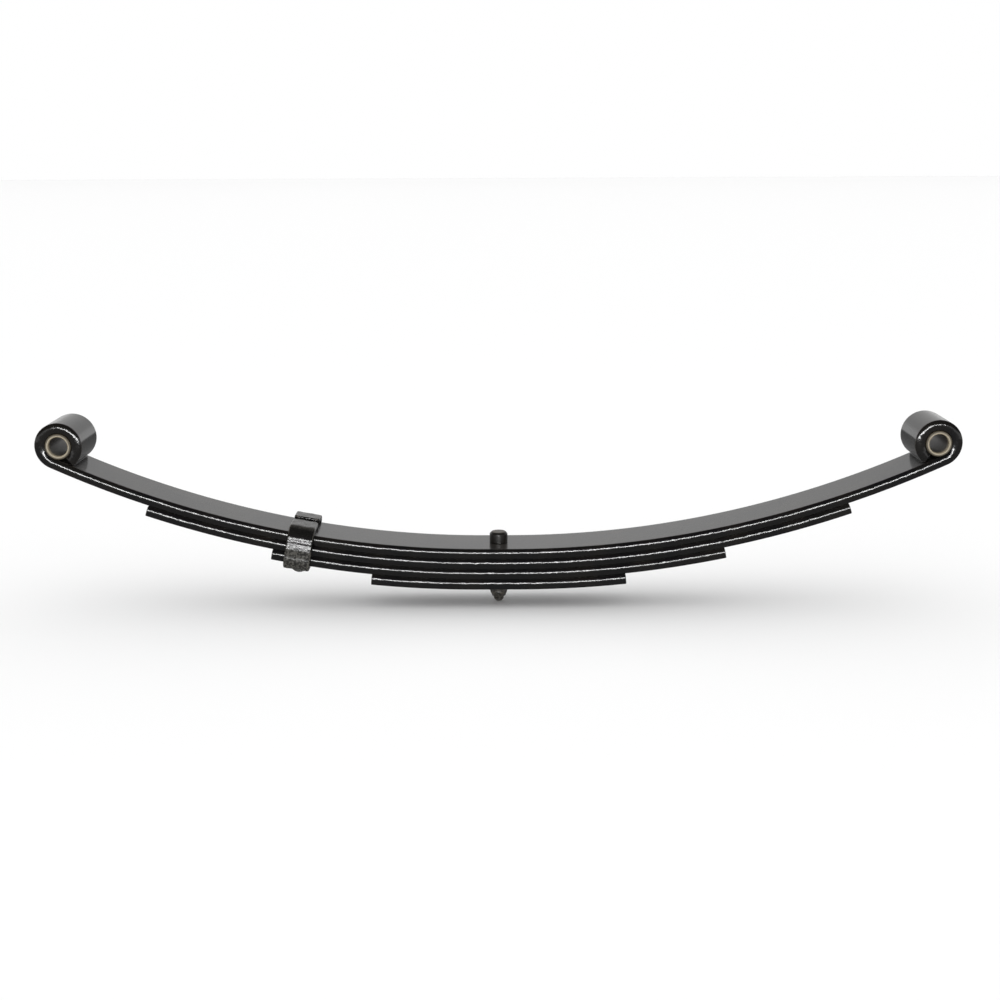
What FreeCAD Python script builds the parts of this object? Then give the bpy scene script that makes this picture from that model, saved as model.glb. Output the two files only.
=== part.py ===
"""Four-leaf double-eye leaf spring with centre bolt, rebound clip and eye bushes.

Frame: millimetres, +Z up, X along the leaves, Y across them.  The origin is on the
centre bolt's axis at the top face of the main leaf, where the axle seat rests.
"""
import FreeCAD, Part
import math
import os

import Sketcher

DRIVING = {
    "eye_spacing": 641.35,          # between the two eye axes
    "leaf_width": 44.45,
    "leaf_thick": 7.8,
    "edge_bulge": 1.2,              # how far the rolled edges stand out past the flats
    "flat_half": 10.0,              # half of the straight stretch at the centre bolt
    "arch_radius": 745.0,           # top face of the main leaf
    "tip_gap": 0.3,                 # added clearance at each shorter leaf's tip
    "second_half": 257.5,
    "third_half": 167.2,
    "fourth_half": 94.2,
    "eye_radius": 9.5,              # inside of the rolled eyes
    "eye_wrap": 300.0,              # degrees that the leaf turns round each eye
    "bush_clearance": 0.05,
    "bush_bore": 14.3,
    "bush_chamfer": 0.5,
    "bolt_shank": 7.94,
    "bolt_hole": 8.4,
    "bolt_head": 13.5,
    "head_height": 8.4,
    "head_chamfer": 1.5,
    "bolt_tip": 14.2,               # end of the bolt below the fourth leaf
    "tip_round": 1.6,
    "nut_flats": 12.7,
    "nut_hex_height": 6.6,
    "nut_cone_height": 3.7,
    "nut_cone_end": 10.2,
    "thread_clearance": 0.05,
    "clip_distance": 145.3,         # from the bolt axis, along X on the main leaf
    "clip_thick": 3.6,
    "clip_width": 19.5,
    "clip_edge": 0.9,               # rounding of the strap's edges
    "clip_side_gap": 0.8,
    "clip_top_gap": 1.6,
    "clip_base_gap": 0.35,
    "clip_top_bend": 5.5,
    "clip_base_bend": 2.0,
    "front_ear_end": -0.8,          # Y of the ear tips
    "back_ear_end": 4.6,
    "back_ear_lift": 0.9,
    "rivet_shank": 7.0,
    "rivet_hole": 7.6,
    "rivet_head": 16.0,
    "rivet_head_height": 7.7,
    "rivet_sink": 10.4,
    "rivet_sink_depth": 2.2,
}

DERIVED = {
    "edge_radius": "=(leaf_thick^2 / 4 + edge_bulge^2) / (2 * edge_bulge)",
    "eye_rise": "=asin((eye_spacing / 2 - flat_half) / (arch_radius - eye_radius))",
    "eye_height": "=arch_radius - (arch_radius - eye_radius) * cos(eye_rise)",
    "bolt_end": "=4 * leaf_thick + bolt_tip",
    "clip_angle": "=asin((clip_distance - flat_half) / arch_radius)",
    "bush_radius": "=eye_radius - bush_clearance",
    "second_flat": "=flat_half + tip_gap * arch_radius / (second_half - flat_half)",
    "third_flat": "=second_flat + tip_gap * arch_radius / (third_half - flat_half)",
    "fourth_flat": "=third_flat + tip_gap * arch_radius / (fourth_half - flat_half)",
    "clip_stack": "=3 * leaf_thick + (third_flat - flat_half) * tan(clip_angle)",
    "clip_floor": "=clip_stack + clip_base_gap + clip_thick / 2",
    "clip_side": "=leaf_width / 2 + clip_side_gap + clip_thick / 2",
    "clip_roof": "=clip_top_gap + clip_thick / 2",
    "strap_top_bend": "=clip_top_bend + clip_thick / 2",
    "strap_base_bend": "=clip_base_bend + clip_thick / 2",
    "third_top": "=clip_stack - leaf_thick",
    "rivet_seat": "=clip_stack + clip_base_gap + clip_thick",
    "rivet_dome": "=(rivet_head^2 / 4 + rivet_head_height^2) / (2 * rivet_head_height)",
    "clip_x": "=-flat_half - arch_radius * sin(clip_angle)",
    "clip_z": "=arch_radius * (1 - cos(clip_angle))",
}

ORIGIN, FIRST, LAST, CENTRE = (-1, 1), 1, 2, 3

doc = FreeCAD.newDocument("leaf_spring")
sheet = doc.addObject("Spreadsheet::Sheet", "Dims")


def fill_sheet():
    """Write every driving number and formula to its own named cell."""
    for row, (name, value) in enumerate({**DRIVING, **DERIVED}.items(), start=1):
        sheet.set("A%d" % row, name)
        sheet.set("B%d" % row, str(value))
        sheet.setAlias("B%d" % row, name)
    doc.recompute()


def dim(name):
    """Value of one named cell as a plain number."""
    value = sheet.get(name)
    return value.Value if hasattr(value, "Value") else float(value)


def new_body(label):
    """Empty body named after its sub-part."""
    body = doc.addObject("PartDesign::Body", label)
    body.Label = label
    return body


def new_sketch(body, name, plane):
    """Sketch flat on one of the body's own origin planes, found by its role."""
    sketch = body.newObject("Sketcher::SketchObject", name)
    support = next(f for f in body.Origin.OriginFeatures if f.Role == plane)
    sketch.AttachmentSupport = [(support, "")]
    sketch.MapMode = "FlatFace"
    return sketch


def bind(sketch, expression, kind, *refs):
    """Add a constraint whose size follows a sheet expression."""
    value = sketch.evalExpression(expression)
    number = value.Value if hasattr(value, "Value") else float(value)
    if kind == "Angle":
        number = math.radians(number)
    index = sketch.addConstraint(Sketcher.Constraint(kind, *refs, number))
    sketch.setExpression("Constraints[%d]" % index, expression)


def vec(x, y):
    """Point in a sketch's own plane."""
    return FreeCAD.Vector(x, y, 0)


def line(sketch, start, end):
    """Straight edge between two (x, y) points."""
    return sketch.addGeometry(Part.LineSegment(vec(*start), vec(*end)), False)


def arc(sketch, centre, radius, start_deg, end_deg):
    """Arc from start to end, counter-clockwise."""
    whole = Part.Circle(vec(*centre), FreeCAD.Vector(0, 0, 1), radius)
    span = (math.radians(start_deg), math.radians(end_deg))
    return sketch.addGeometry(Part.ArcOfCircle(whole, *span), False)


def link(sketch, kind, *refs):
    """Add a constraint that has no size of its own."""
    sketch.addConstraint(Sketcher.Constraint(kind, *refs))


def circle(sketch, centre, radius, x_expr, y_expr, radius_expr):
    """Circle whose centre and radius follow the sheet; None keeps it on an axis."""
    index = sketch.addGeometry(Part.Circle(vec(*centre), FreeCAD.Vector(0, 0, 1), radius))
    if x_expr:
        bind(sketch, x_expr, "DistanceX", *ORIGIN, index, CENTRE)
        bind(sketch, y_expr, "DistanceY", *ORIGIN, index, CENTRE)
    else:
        link(sketch, "Coincident", index, CENTRE, *ORIGIN)
    bind(sketch, radius_expr, "Radius", index)
    return index


def polygon(sketch, points):
    """Closed outline of straight lines through the points, ends joined."""
    count = len(points)
    edges = [line(sketch, points[i], points[(i + 1) % count]) for i in range(count)]
    for i, edge in enumerate(edges):
        link(sketch, "Coincident", edge, LAST, edges[(i + 1) % count], FIRST)
    return edges


def place_corners(sketch, edges, corners):
    """Hold the start of each edge at an (x, y) pair of sheet expressions."""
    for edge, (x_expr, y_expr) in zip(edges, corners):
        for kind, expression in (("DistanceX", x_expr), ("DistanceY", y_expr)):
            if expression is None:
                axis = -2 if kind == "DistanceX" else -1
                link(sketch, "PointOnObject", edge, FIRST, axis)
            else:
                bind(sketch, expression, kind, *ORIGIN, edge, FIRST)


def fill_outline(sketch, corners):
    """Closed outline of straight lines; corners are (x, y) sheet expressions, None on an axis."""
    points = [[0.0 if e is None else value_of(e) for e in pair] for pair in corners]
    place_corners(sketch, polygon(sketch, points), corners)


def value_of(expression):
    """Value of a sheet expression as a plain number."""
    value = sheet.evalExpression(expression.replace("Dims.", ""))
    return value.Value if hasattr(value, "Value") else float(value)


# ---- leaves -----------------------------------------------------------------------

def leaf_section(body, level):
    """Flat bar with convex rolled edges, its top face at the leaf's level."""
    sketch = new_sketch(body, "Section", "YZ_Plane")
    half = dim("leaf_width") / 2 - dim("edge_bulge")
    thick, radius = dim("leaf_thick"), dim("edge_radius")
    top = -level * thick
    mid = top - thick / 2
    swing = math.degrees(math.asin(thick / 2 / radius))
    reach = half - math.sqrt(radius ** 2 - thick ** 2 / 4)
    upper = line(sketch, (-half, top), (half, top))
    right = arc(sketch, (reach, mid), radius, -swing, swing)
    lower = line(sketch, (half, top - thick), (-half, top - thick))
    left = arc(sketch, (-reach, mid), radius, 180 - swing, 180 + swing)
    link(sketch, "Coincident", upper, LAST, right, LAST)
    link(sketch, "Coincident", right, FIRST, lower, FIRST)
    link(sketch, "Coincident", lower, LAST, left, LAST)
    link(sketch, "Coincident", left, FIRST, upper, FIRST)
    link(sketch, "Symmetric", upper, FIRST, upper, LAST, -2)
    link(sketch, "Symmetric", lower, FIRST, lower, LAST, -2)
    link(sketch, "Equal", left, right)
    bind(sketch, "Dims.leaf_width - 2 * Dims.edge_bulge", "DistanceX", upper, FIRST, upper, LAST)
    bind(sketch, "Dims.leaf_thick", "DistanceY", lower, LAST, upper, FIRST)
    bind(sketch, "Dims.leaf_width - 2 * Dims.edge_bulge", "DistanceX", lower, LAST, lower, FIRST)
    bind(sketch, "Dims.edge_radius", "Radius", right)
    if level:
        bind(sketch, "-%d * Dims.leaf_thick" % level, "DistanceY", *ORIGIN, upper, FIRST)
    else:
        link(sketch, "PointOnObject", upper, FIRST, -1)
    return sketch


def leaf_spine(body, level, flat, half_length):
    """Top line of one half of a leaf: a short flat, the arch and, on the main leaf, the eye."""
    sketch = new_sketch(body, "Spine", "XZ_Plane")
    top = -level * dim("leaf_thick")
    radius = dim("arch_radius") - top
    start = dim(flat)
    is_main = half_length is None
    if is_main:
        rise = math.asin((dim("eye_spacing") / 2 - start) / (radius - dim("eye_radius")))
    else:
        rise = math.asin((dim(half_length) - start) / radius)
    seat = line(sketch, (0, top), (start, top))
    arch = arc(sketch, (start, top + radius), radius, -90, math.degrees(rise) - 90)
    link(sketch, "PointOnObject", seat, FIRST, -2)
    link(sketch, "Horizontal", seat)
    link(sketch, "Tangent", seat, LAST, arch, FIRST)
    bind(sketch, "Dims." + flat, "DistanceX", seat, FIRST, seat, LAST)
    bind(sketch, "Dims.arch_radius + %d * Dims.leaf_thick" % level, "Radius", arch)
    if level:
        bind(sketch, "-%d * Dims.leaf_thick" % level, "DistanceY", *ORIGIN, seat, FIRST)
        bind(sketch, "Dims." + half_length, "DistanceX", *ORIGIN, arch, LAST)
        return sketch
    link(sketch, "PointOnObject", seat, FIRST, -1)
    inner = dim("eye_radius")
    eye_x = dim("eye_spacing") / 2
    eye_z = radius - (radius - inner) * math.cos(rise)
    first = math.degrees(rise) - 90
    eye = arc(sketch, (eye_x, eye_z), inner, first, first + dim("eye_wrap"))
    link(sketch, "Tangent", arch, LAST, eye, FIRST)
    bind(sketch, "Dims.eye_spacing / 2", "DistanceX", *ORIGIN, eye, CENTRE)
    bind(sketch, "Dims.eye_radius", "Radius", eye)
    bind(sketch, "Dims.eye_wrap", "Angle", eye)
    return sketch


def build_leaf(label, level, flat, half_length):
    """One leaf: half swept along its spine, mirrored, then drilled for the centre bolt."""
    body = new_body(label)
    section = leaf_section(body, level)
    spine = leaf_spine(body, level, flat, half_length)
    doc.recompute()
    sweep = body.newObject("PartDesign::AdditivePipe", "Half")
    sweep.Profile = section
    sweep.Spine = (spine, ["Edge%d" % (i + 1) for i in range(len(spine.Geometry))])
    doc.recompute()
    whole = body.newObject("PartDesign::Mirrored", "BothHalves")
    whole.Originals = [sweep]
    plane = next(f for f in body.Origin.OriginFeatures if f.Role == "YZ_Plane")
    whole.MirrorPlane = (plane, [""])
    body.Tip = whole
    doc.recompute()
    hole = new_sketch(body, "HoleOutline", "XY_Plane")
    circle(hole, (0, 0), dim("bolt_hole") / 2, None, None, "Dims.bolt_hole / 2")
    drilled = body.newObject("PartDesign::Pocket", "BoltHole")
    drilled.Profile = hole
    drilled.Type = "ThroughAll"
    drilled.SideType = "Symmetric"
    body.Tip = drilled
    doc.recompute()
    return body


def drill_rivet_seat(body):
    """Countersunk rivet hole through the third leaf, square to the arch under the clip."""
    sketch = new_sketch(body, "RivetHoleOutline", "XZ_Plane")
    lean = FreeCAD.Rotation(FreeCAD.Vector(0, 0, 1), -dim("clip_angle"))
    sketch.AttachmentOffset = FreeCAD.Placement(vec(dim("clip_x"), dim("clip_z")), lean)
    sketch.setExpression("AttachmentOffset.Base.x", "Dims.clip_x")
    sketch.setExpression("AttachmentOffset.Base.y", "Dims.clip_z")
    above, below = "-Dims.third_top + 1", "-Dims.clip_stack - 1"
    neck = "-Dims.third_top - Dims.rivet_sink_depth - 0.1"
    fill_outline(sketch, [
        (None, above),
        ("Dims.rivet_sink / 2 + 0.3", above),
        ("Dims.rivet_sink / 2 + 0.3", "-Dims.third_top - 0.1"),
        ("Dims.rivet_hole / 2", neck),
        ("Dims.rivet_hole / 2", below),
        (None, below),
    ])
    doc.recompute()
    cut = body.newObject("PartDesign::Groove", "RivetHole")
    cut.Profile = sketch
    cut.ReferenceAxis = (sketch, ["V_Axis"])
    cut.Angle = 360
    body.Tip = cut
    doc.recompute()


# ---- centre bolt and nut ------------------------------------------------------------

def revolve(body, sketch):
    """Turn a half outline once round its own vertical axis."""
    turned = body.newObject("PartDesign::Revolution", "Turned")
    turned.Profile = sketch
    turned.ReferenceAxis = (sketch, ["V_Axis"])
    turned.Angle = 360
    body.Tip = turned
    doc.recompute()
    return turned


def build_centre_bolt():
    """Round-headed bolt: the head locates the axle seat, the shank holds the pack."""
    body = new_body("centre_bolt")
    sketch = new_sketch(body, "HalfOutline", "XZ_Plane")
    head, shank = "Dims.bolt_head / 2", "Dims.bolt_shank / 2"
    fill_outline(sketch, [
        (None, "Dims.head_height"),
        (head + " - Dims.head_chamfer", "Dims.head_height"),
        (head, "Dims.head_height - Dims.head_chamfer"),
        (head, None),
        (shank, None),
        (shank, "-Dims.bolt_end + Dims.tip_round"),
        (shank + " - Dims.tip_round", "-Dims.bolt_end"),
        (None, "-Dims.bolt_end"),
    ])
    doc.recompute()
    revolve(body, sketch)
    return body


def primitive(kind, name, base, **sizes):
    """Part primitive standing at height base, each size following a sheet expression."""
    shape = doc.addObject(kind, name)
    shape.setExpression("Placement.Base.z", base)
    for prop, expression in sizes.items():
        shape.setExpression(prop, expression)
    return shape


def build_nut():
    """Lock nut under the fourth leaf: a hexagon with a cone on its outer end."""
    step = "-4 * Dims.leaf_thick - Dims.nut_hex_height"
    end = step + " - Dims.nut_cone_height"
    hexagon = primitive("Part::Prism", "NutHexagon", step, Height="Dims.nut_hex_height",
                        Circumradius="Dims.nut_flats / 2 / cos(30)")
    hexagon.Polygon = 6
    cone = primitive("Part::Cone", "NutCone", end, Height="Dims.nut_cone_height",
                     Radius1="Dims.nut_cone_end / 2", Radius2="Dims.nut_flats / 2")
    bore = primitive("Part::Cylinder", "NutBore", end + " - 1",
                     Height="Dims.nut_hex_height + Dims.nut_cone_height + 2",
                     Radius="Dims.bolt_shank / 2 + Dims.thread_clearance")
    blank = doc.addObject("Part::Fuse", "NutBlank")
    blank.Base, blank.Tool = hexagon, cone
    nut = doc.addObject("Part::Cut", "centre_bolt_nut")
    nut.Base, nut.Tool = blank, bore
    nut.Label = "centre_bolt_nut"
    doc.recompute()
    return nut


# ---- rebound clip and its rivet -------------------------------------------------------

def stand_on_arch(body):
    """Put the body's frame on the main leaf's top face at the clip, Z square to the leaf."""
    lean = FreeCAD.Rotation(FreeCAD.Vector(0, 1, 0), dim("clip_angle"))
    body.Placement = FreeCAD.Placement(FreeCAD.Vector(dim("clip_x"), 0, dim("clip_z")), lean)
    body.setExpression("Placement.Base.x", "Dims.clip_x")
    body.setExpression("Placement.Base.z", "Dims.clip_z")


def clip_section(body):
    """Strap section with rounded edges, at the tip of the front ear."""
    sketch = new_sketch(body, "Section", "XZ_Plane")
    sketch.AttachmentOffset = FreeCAD.Placement(
        FreeCAD.Vector(0, 0, -dim("front_ear_end")), FreeCAD.Rotation())
    sketch.setExpression("AttachmentOffset.Base.z", "-Dims.front_ear_end")
    wide, deep = dim("clip_width") / 2, dim("clip_thick") / 2
    level, round_off = dim("clip_roof"), dim("clip_edge")
    flat, wall = wide - round_off, deep - round_off
    top = line(sketch, (flat, level + deep), (-flat, level + deep))
    left = line(sketch, (-wide, level + wall), (-wide, level - wall))
    bottom = line(sketch, (-flat, level - deep), (flat, level - deep))
    right = line(sketch, (wide, level - wall), (wide, level + wall))
    sides = (top, left, bottom, right)
    corners = []
    for turn, (x_sign, z_sign) in enumerate(((-1, 1), (-1, -1), (1, -1), (1, 1))):
        centre = (x_sign * flat, level + z_sign * wall)
        corners.append(arc(sketch, centre, round_off, 90 + 90 * turn, 180 + 90 * turn))
    for index, corner in enumerate(corners):
        link(sketch, "Tangent", sides[index], LAST, corner, FIRST)
        link(sketch, "Tangent", corner, LAST, sides[(index + 1) % 4], FIRST)
        bind(sketch, "Dims.clip_edge", "Radius", corner)
    link(sketch, "Vertical", left)
    link(sketch, "Horizontal", bottom)
    link(sketch, "Vertical", right)
    link(sketch, "Symmetric", top, FIRST, top, LAST, -2)
    bind(sketch, "Dims.clip_width - 2 * Dims.clip_edge", "DistanceX", top, LAST, top, FIRST)
    bind(sketch, "Dims.clip_thick", "DistanceY", bottom, FIRST, top, LAST)
    bind(sketch, "Dims.clip_roof + Dims.clip_thick / 2", "DistanceY", *ORIGIN, top, FIRST)
    return sketch


def clip_spine(body):
    """Mid line of the strap: front ear, front side, floor, back side, back ear."""
    sketch = new_sketch(body, "Spine", "YZ_Plane")
    side, floor, roof = dim("clip_side"), -dim("clip_floor"), dim("clip_roof")
    back_roof = roof + dim("back_ear_lift")
    top, base = dim("strap_top_bend"), dim("strap_base_bend")
    front_ear = line(sketch, (dim("front_ear_end"), roof), (top - side, roof))
    front_bend = arc(sketch, (top - side, roof - top), top, 90, 180)
    front_side = line(sketch, (-side, roof - top), (-side, floor + base))
    front_foot = arc(sketch, (base - side, floor + base), base, 180, 270)
    floor_run = line(sketch, (base - side, floor), (side - base, floor))
    back_foot = arc(sketch, (side - base, floor + base), base, 270, 360)
    back_side = line(sketch, (side, floor + base), (side, back_roof - top))
    back_bend = arc(sketch, (side - top, back_roof - top), top, 0, 90)
    back_ear = line(sketch, (side - top, back_roof), (dim("back_ear_end"), back_roof))
    run = (front_ear, front_bend, front_side, front_foot, floor_run, back_foot, back_side,
           back_bend, back_ear)
    for before, after in zip(run, run[1:]):
        link(sketch, "Tangent", before, LAST, after, FIRST)
    link(sketch, "Horizontal", front_ear)
    link(sketch, "Vertical", front_side)
    link(sketch, "Horizontal", floor_run)
    link(sketch, "Vertical", back_side)
    link(sketch, "Horizontal", back_ear)
    for bend, size in ((front_bend, "top"), (front_foot, "base"), (back_foot, "base"),
                       (back_bend, "top")):
        bind(sketch, "Dims.strap_%s_bend" % size, "Radius", bend)
    bind(sketch, "Dims.front_ear_end", "DistanceX", *ORIGIN, front_ear, FIRST)
    bind(sketch, "Dims.clip_roof", "DistanceY", *ORIGIN, front_ear, FIRST)
    bind(sketch, "-Dims.clip_side", "DistanceX", *ORIGIN, front_side, FIRST)
    bind(sketch, "-Dims.clip_floor", "DistanceY", *ORIGIN, floor_run, FIRST)
    bind(sketch, "Dims.clip_side", "DistanceX", *ORIGIN, back_side, FIRST)
    bind(sketch, "Dims.clip_roof + Dims.back_ear_lift", "DistanceY", *ORIGIN, back_ear, LAST)
    bind(sketch, "Dims.back_ear_end", "DistanceX", *ORIGIN, back_ear, LAST)
    return sketch


def build_clip():
    """Strap bent round the upper three leaves, with a rivet hole in its floor."""
    body = new_body("rebound_clip")
    section, spine = clip_section(body), clip_spine(body)
    doc.recompute()
    strap = body.newObject("PartDesign::AdditivePipe", "Strap")
    strap.Profile = section
    strap.Spine = (spine, ["Edge%d" % (i + 1) for i in range(len(spine.Geometry))])
    body.Tip = strap
    doc.recompute()
    sketch = new_sketch(body, "RivetHoleOutline", "XY_Plane")
    circle(sketch, (0, 0), dim("rivet_hole") / 2, None, None, "Dims.rivet_hole / 2")
    hole = body.newObject("PartDesign::Pocket", "RivetHole")
    hole.Profile = sketch
    hole.Type = "ThroughAll"
    body.Tip = hole
    doc.recompute()
    stand_on_arch(body)
    return body


def build_rivet():
    """Rivet holding the clip to the third leaf: domed head below, flush countersink above."""
    body = new_body("clip_rivet")
    sketch = new_sketch(body, "HalfOutline", "XZ_Plane")
    shank, sink = "Dims.rivet_shank / 2", "Dims.rivet_sink / 2"
    neck = "-Dims.third_top - Dims.rivet_sink_depth"
    corners = [
        (None, "-Dims.rivet_seat - Dims.rivet_head_height"),
        (None, "-Dims.third_top"),
        (sink, "-Dims.third_top"),
        (shank, neck),
        (shank, "-Dims.rivet_seat"),
        ("Dims.rivet_head / 2", "-Dims.rivet_seat"),
    ]
    points = [tuple(0.0 if e is None else value_of(e) for e in pair) for pair in corners]
    edges = [line(sketch, *pair) for pair in zip(points, points[1:])]
    for before, after in zip(edges, edges[1:]):
        link(sketch, "Coincident", before, LAST, after, FIRST)
    place_corners(sketch, edges, corners[:-1])
    bind(sketch, corners[-1][0], "DistanceX", *ORIGIN, edges[-1], LAST)
    bind(sketch, corners[-1][1], "DistanceY", *ORIGIN, edges[-1], LAST)
    radius = dim("rivet_dome")
    centre_z = points[0][1] + radius
    reach = math.degrees(math.asin(points[-1][0] / radius))
    dome = arc(sketch, (0, centre_z), radius, -90, -90 + reach)
    link(sketch, "Coincident", dome, FIRST, edges[0], FIRST)
    link(sketch, "Coincident", dome, LAST, edges[-1], LAST)
    link(sketch, "PointOnObject", dome, CENTRE, -2)
    doc.recompute()
    revolve(body, sketch)
    stand_on_arch(body)
    return body


# ---- eye bushes -------------------------------------------------------------------------

def build_bush(label, sign):
    """Plain bush pressed into one eye, flush with the leaf's edges."""
    body = new_body(label)
    sketch = new_sketch(body, "Ring", "XZ_Plane")
    centre = (sign * dim("eye_spacing") / 2, dim("eye_height"))
    across = "%d * Dims.eye_spacing / 2" % sign
    for radius in ("Dims.bush_radius", "Dims.bush_bore / 2"):
        circle(sketch, centre, value_of(radius), across, "Dims.eye_height", radius)
    doc.recompute()
    tube = body.newObject("PartDesign::Pad", "Tube")
    tube.Profile = sketch
    tube.SideType = "Symmetric"
    tube.setExpression("Length", "Dims.leaf_width")
    body.Tip = tube
    doc.recompute()
    rims = ["Edge%d" % (i + 1) for i, edge in enumerate(tube.Shape.Edges)
            if edge.Closed and abs(edge.Curve.Radius - dim("bush_radius")) < 0.01]
    bevel = body.newObject("PartDesign::Chamfer", "OuterBevel")
    bevel.Base = (tube, rims)
    bevel.setExpression("Size", "Dims.bush_chamfer")
    body.Tip = bevel
    doc.recompute()
    return body


def check_document(nodes):
    """Stop if any object failed to build or any sub-part is empty or unsound."""
    for item in doc.Objects:
        if "Invalid" in item.State or "Error" in item.State:
            raise RuntimeError("%s failed: %s" % (item.Name, item.State))
    for node in nodes:
        if node.Shape.isNull() or not node.Shape.isValid() or len(node.Shape.Solids) != 1:
            raise RuntimeError("%s has no sound solid" % node.Label)


fill_sheet()
third_leaf = build_leaf("third_leaf", 2, "third_flat", "third_half")
drill_rivet_seat(third_leaf)
NODES = [
    build_leaf("main_leaf", 0, "flat_half", None),
    build_leaf("second_leaf", 1, "second_flat", "second_half"),
    third_leaf,
    build_leaf("fourth_leaf", 3, "fourth_flat", "fourth_half"),
    build_centre_bolt(),
    build_nut(),
    build_clip(),
    build_rivet(),
    build_bush("left_eye_bush", -1),
    build_bush("right_eye_bush", 1),
]
doc.recompute()
check_document(NODES)
os.makedirs("parts", exist_ok=True)
for node in NODES:
    node.Shape.exportStep("parts/%s.step" % node.Label)
    print("%-16s %9.1f mm3" % (node.Label, node.Shape.Volume))
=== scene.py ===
"""Leaf spring: four black enamelled leaves, nylon-bushed eyes, a centre bolt with its lock
nut, and a riveted rebound clip, standing in a plain pale studio.

Metres throughout, in the CAD frame: +X along the leaves, +Y across them, +Z up, with the
origin on the centre bolt's axis at the main leaf's top face.
"""
import logging
import math
from dataclasses import dataclass, field
from enum import Enum
from typing import Any, Callable, Dict, List, Optional, Sequence, Tuple, Union

import bpy
import numpy as np
from mathutils import Matrix, Vector


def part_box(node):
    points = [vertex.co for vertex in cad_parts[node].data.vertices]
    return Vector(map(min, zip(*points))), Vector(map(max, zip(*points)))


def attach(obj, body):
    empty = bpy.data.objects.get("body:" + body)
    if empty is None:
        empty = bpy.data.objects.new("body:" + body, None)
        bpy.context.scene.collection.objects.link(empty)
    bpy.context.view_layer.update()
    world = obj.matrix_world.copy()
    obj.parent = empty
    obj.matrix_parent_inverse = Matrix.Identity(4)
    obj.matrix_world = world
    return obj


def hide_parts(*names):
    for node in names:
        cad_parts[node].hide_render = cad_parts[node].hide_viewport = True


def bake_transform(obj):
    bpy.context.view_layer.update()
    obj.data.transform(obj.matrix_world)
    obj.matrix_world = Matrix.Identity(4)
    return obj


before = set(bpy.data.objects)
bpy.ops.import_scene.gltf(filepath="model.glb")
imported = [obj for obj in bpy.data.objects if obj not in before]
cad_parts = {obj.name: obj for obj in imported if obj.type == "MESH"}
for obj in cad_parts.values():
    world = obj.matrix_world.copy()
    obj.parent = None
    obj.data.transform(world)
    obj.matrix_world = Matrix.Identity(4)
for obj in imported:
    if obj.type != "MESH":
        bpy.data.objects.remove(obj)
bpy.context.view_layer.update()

LOG = logging.getLogger("leaf_spring")
Array = np.ndarray
Colour = Tuple[float, float, float, float]
MM = 0.001


class Body(Enum):
    """CAD bodies that pieces ride on."""

    PACK = "centre_pack"
    LEFT_EYE = "left_eye"
    RIGHT_EYE = "right_eye"
    CLIP = "clip"


class Slot(Enum):
    """Material slots of the record."""

    LEAF = "leaf_enamel"
    FASTENER = "fastener_enamel"
    CLIP = "clip_enamel"
    BUSH = "bush_nylon"


class Side(Enum):
    """End of the spring; the value is the sign of X there."""

    LEFT = -1
    RIGHT = 1

    @property
    def body(self) -> Body:
        """Body of this end's eye."""
        return Body.LEFT_EYE if self is Side.LEFT else Body.RIGHT_EYE

    @property
    def word(self) -> str:
        """Name of this end in piece names."""
        return self.name.lower()


# ---- shader arithmetic ------------------------------------------------------------------


class Value:
    """A shader socket that takes part in Python arithmetic."""

    def __init__(self, graph: "Graph", socket: bpy.types.NodeSocket) -> None:
        """Wrap one output socket.

        Args:
            graph: node tree that the socket belongs to.
            socket: the output.
        """
        self.graph = graph
        self.socket = socket

    def __add__(self, other: "Number") -> "Value":
        """Sum."""
        return self.graph.math("ADD", self, other)

    def __radd__(self, other: "Number") -> "Value":
        """Sum with a number on the left."""
        return self.graph.math("ADD", other, self)

    def __sub__(self, other: "Number") -> "Value":
        """Difference."""
        return self.graph.math("SUBTRACT", self, other)

    def __rsub__(self, other: "Number") -> "Value":
        """Difference from a number on the left."""
        return self.graph.math("SUBTRACT", other, self)

    def __mul__(self, other: "Number") -> "Value":
        """Product."""
        return self.graph.math("MULTIPLY", self, other)

    def __rmul__(self, other: "Number") -> "Value":
        """Product with a number on the left."""
        return self.graph.math("MULTIPLY", other, self)


Number = Union[float, Value]


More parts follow.
